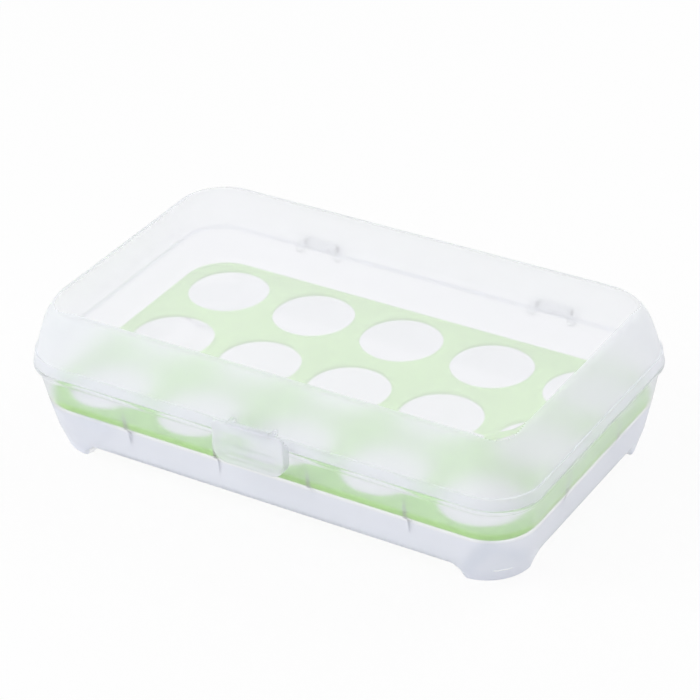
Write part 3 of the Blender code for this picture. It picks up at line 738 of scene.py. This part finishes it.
TINT = (0.985, 0.987, 1.0)
TUB_BODY, LID_BODY, PANEL_BODY = (0.8, 0.83, 0.95), (0.92, 0.945, 1.0), (0.96, 0.965, 1.0)
# The tub's milk share rises below 8 mm. Together with the tub's darker body colour, this is painted shade
# on the feet next to the table.
TUB_MILK_AND_FOOT_SHADE = [(0, 0.85), (8, 0.65), (22.6, 0.6), (24.0, 0.05), (27.0, 0.05), (29.5, 0.3), (BOX_TOP, 0.3)]
tub.data.materials.append(plastic("frosted_tub", TINT, TUB_BODY, 0.36, TUB_MILK_AND_FOOT_SHADE, 0.3))
clip.data.materials.append(plastic("smooth_clip", TINT, LID_BODY, 0.36, even(0.5), 0.1))
lid.data.materials.append(plastic("frosted_lid", TINT, LID_BODY, 0.55, even(0.55), 0.3))
lid.data.materials.append(plastic("polished_lid", TINT, PANEL_BODY, 0.05, even(0.55), 0.0))
tub_floor = plastic("tub_floor", TINT, TUB_BODY, 0.2, even(0.15), 0.1)
solid_parts = plastic("solid_parts", TINT, LID_BODY, 0.3, even(0.3), 0.1, IOR_SMALL)
for piece in (tub, lid, clip):
    piece.data.materials.append(solid_parts)
tub.data.materials.append(tub_floor)


# %% Faces with a finish of their own: the lid's clear panel, the tub's brackets and its floor
PANEL_INSET, PANEL_LEVEL = 11.12 * MM, 67.5 * MM
BRACKET_INSET, BRACKET_FOOT = 7.0 * MM, 16
FLOOR_INSET, LEVEL_SLACK = 9.5 * MM, 0.1


def inset_of(points):
    """Distance inwards from the rim's outline: R - |max(q, 0)| - min(max(qx, qy), 0), where q is
    |p| - the corner centre."""
    q = np.abs(points[:, :2] - [0, CENTER_Y]) - [core_x, core_y]
    return CORNER_RADIUS - np.linalg.norm(np.maximum(q, 0), axis=1) - np.minimum(q.max(axis=1), 0)


def face_centers(piece):
    centers = np.empty(3 * len(piece.data.polygons))
    piece.data.polygons.foreach_get("center", centers)
    return centers.reshape(-1, 3)


def set_slot(piece, chosen, slot):
    slots = np.empty(len(chosen), np.int32)
    piece.data.polygons.foreach_get("material_index", slots)
    slots[chosen] = slot
    piece.data.polygons.foreach_set("material_index", slots)
    print(piece.name, "has", int(chosen.sum()), "faces in slot", slot)


lid_faces, tub_faces = face_centers(lid), face_centers(tub)
set_slot(lid, (inset_of(lid_faces) > PANEL_INSET) & (lid_faces[:, 2] > PANEL_LEVEL), 1)
tub_insets, tub_heights = inset_of(tub_faces), tub_faces[:, 2] / MM
at_bracket = (tub_heights > BRACKET_FOOT) & (tub_heights < TRAY_SEAT)
at_floor = (tub_heights > FLOOR - LEVEL_SLACK) & (tub_heights < FLOOR + WALL + LEVEL_SLACK)
set_slot(tub, (tub_insets > BRACKET_INSET) & at_bracket, 1)
set_slot(tub, (tub_insets > FLOOR_INSET) & at_floor, 2)

# %% The green tray
DEEP_GREEN, PALE_GREEN = (0.46, 0.77, 0.27), (0.5, 0.79, 0.31)
TRAY_ROUGH, TRAY_DRIFT = 0.42, 0.1
TRAY_CLOUD_SCALE, TRAY_GRAIN_SCALE = 22.0, 2200.0
TRAY_SKIN_DEPTH = 0.04 * MM
tray_recipe = new_recipe("green_tray")
place = tray_recipe.add("ShaderNodeTexCoord")["Object"]
cloud = tray_recipe.noise(place, TRAY_CLOUD_SCALE)
speck = tray_recipe.noise(place, TRAY_GRAIN_SCALE)
bump = tray_recipe.add("ShaderNodeBump", {}, {
    "Height": speck, "Strength": SKIN_STRENGTH, "Distance": TRAY_SKIN_DEPTH,
})
shader = tray_recipe.add("ShaderNodeBsdfPrincipled", {}, {
    "Base Color": tray_recipe.mix_colors(cloud, DEEP_GREEN, PALE_GREEN),
    "Roughness": TRAY_ROUGH + (cloud - 0.5) * TRAY_DRIFT,
    "IOR": IOR_SKIN,
    "Normal": bump["Normal"],
})
tray.data.materials.append(tray_recipe.finish(shader["BSDF"]))

# %% [markdown]
# # A white studio
# The box stands on a white table in even light. The table and the world look white wherever they
# are seen, directly or through the plastic, while the light that they give the box stays plain.
# The table keeps part of its own shading, so the box still has a faint shadow under its feet.

# %% Table and world
FLOOR_HALF = 3.0
TABLE_WHITE, TABLE_SEEN = (0.96, 0.96, 0.96), 0.9
WORLD_LIGHT = 0.58
table_mesh = bpy.data.meshes.new("table")
corners = [(x, y, 0.0) for x, y in ((-1, -1), (1, -1), (1, 1), (-1, 1))]
table_mesh.from_pydata([(x * FLOOR_HALF, y * FLOOR_HALF, z) for x, y, z in corners], [], [(0, 1, 2, 3)])
table = bpy.data.objects.new("table", table_mesh)
bpy.context.collection.objects.link(table)


def seen(recipe):
    """1 for rays from the camera, off glossy surfaces and through plastic; 0 for all others."""
    rays = recipe.add("ShaderNodeLightPath")
    return rays["Is Camera Ray"].larger(rays["Is Glossy Ray"]).larger(rays["Is Transmission Ray"])


table_recipe = new_recipe("white_table")
matte = table_recipe.add("ShaderNodeBsdfDiffuse", {}, {"Color": (*TABLE_WHITE, 1.0)})["BSDF"]
white = table_recipe.add("ShaderNodeEmission", {}, {"Strength": 1.0})["Emission"]
table_mix = table_recipe.add("ShaderNodeMixShader", {}, {
    0: seen(table_recipe) * TABLE_SEEN, 1: matte, 2: white,
})
table_mesh.materials.append(table_recipe.finish(table_mix["Shader"]))

world = bpy.data.worlds.new("studio")
bpy.context.scene.world = world
sky = Recipe(world)
glow = sky.add("ShaderNodeBackground", {}, {
    "Color": (1.0, 1.0, 1.0, 1.0), "Strength": seen(sky) * (1 - WORLD_LIGHT) + WORLD_LIGHT,
})
sky.add("ShaderNodeOutputWorld", {}, {"Surface": glow["Background"]})

# %% Lamps
LIT_POINT = (0, 0, 0.03)


def add_lamp(name, place, target, width, power):
    """A square area lamp at a place, turned towards a target."""
    light = bpy.data.lights.new(name, "AREA")
    light.size, light.energy = width, power
    lamp = bpy.data.objects.new(name, light)
    lamp.location = place
    lamp.rotation_euler = (Vector(target) - Vector(place)).to_track_quat("-Z", "Y").to_euler()
    bpy.context.collection.objects.link(lamp)


add_lamp("soft_key", (-0.8, -0.75, 0.95), LIT_POINT, 0.9, 7.6)
add_lamp("soft_back", (0.5, 0.9, 0.9), LIT_POINT, 0.8, 4.5)

# %% [markdown]
# # The camera
# The box is seen from its front right, from well above. The camera looks at a point a little to the
# left of the box's middle, and it is rolled by two degrees, as the hand that held it was.

# %% Camera
AZIMUTH, ELEVATION, ROLL = (math.radians(angle) for angle in (31.964, 31.424, -1.901))
DISTANCE = 1.229
LOOK_AT = Vector((-0.0159, 0.0272, 0.0257))
back = Vector((
    math.sin(AZIMUTH) * math.cos(ELEVATION), -math.cos(AZIMUTH) * math.cos(ELEVATION), math.sin(ELEVATION),
))
right = Vector((math.cos(AZIMUTH), math.sin(AZIMUTH), 0))
up = back.cross(right)
rolled_right = math.cos(ROLL) * right + math.sin(ROLL) * up
rolled_up = math.cos(ROLL) * up - math.sin(ROLL) * right
lens = bpy.data.cameras.new("camera")
lens.sensor_width, lens.lens = 36.0, 142.88
camera = bpy.data.objects.new("camera", lens)
bpy.context.collection.objects.link(camera)
turn = Matrix((rolled_right, rolled_up, back)).transposed()
camera.matrix_world = Matrix.Translation(LOOK_AT + DISTANCE * back) @ turn.to_4x4()
bpy.context.scene.camera = camera
bpy.context.scene.view_settings.view_transform = "Standard"
print("camera is", round((camera.matrix_world.translation - LOOK_AT).length, 3), "m away")
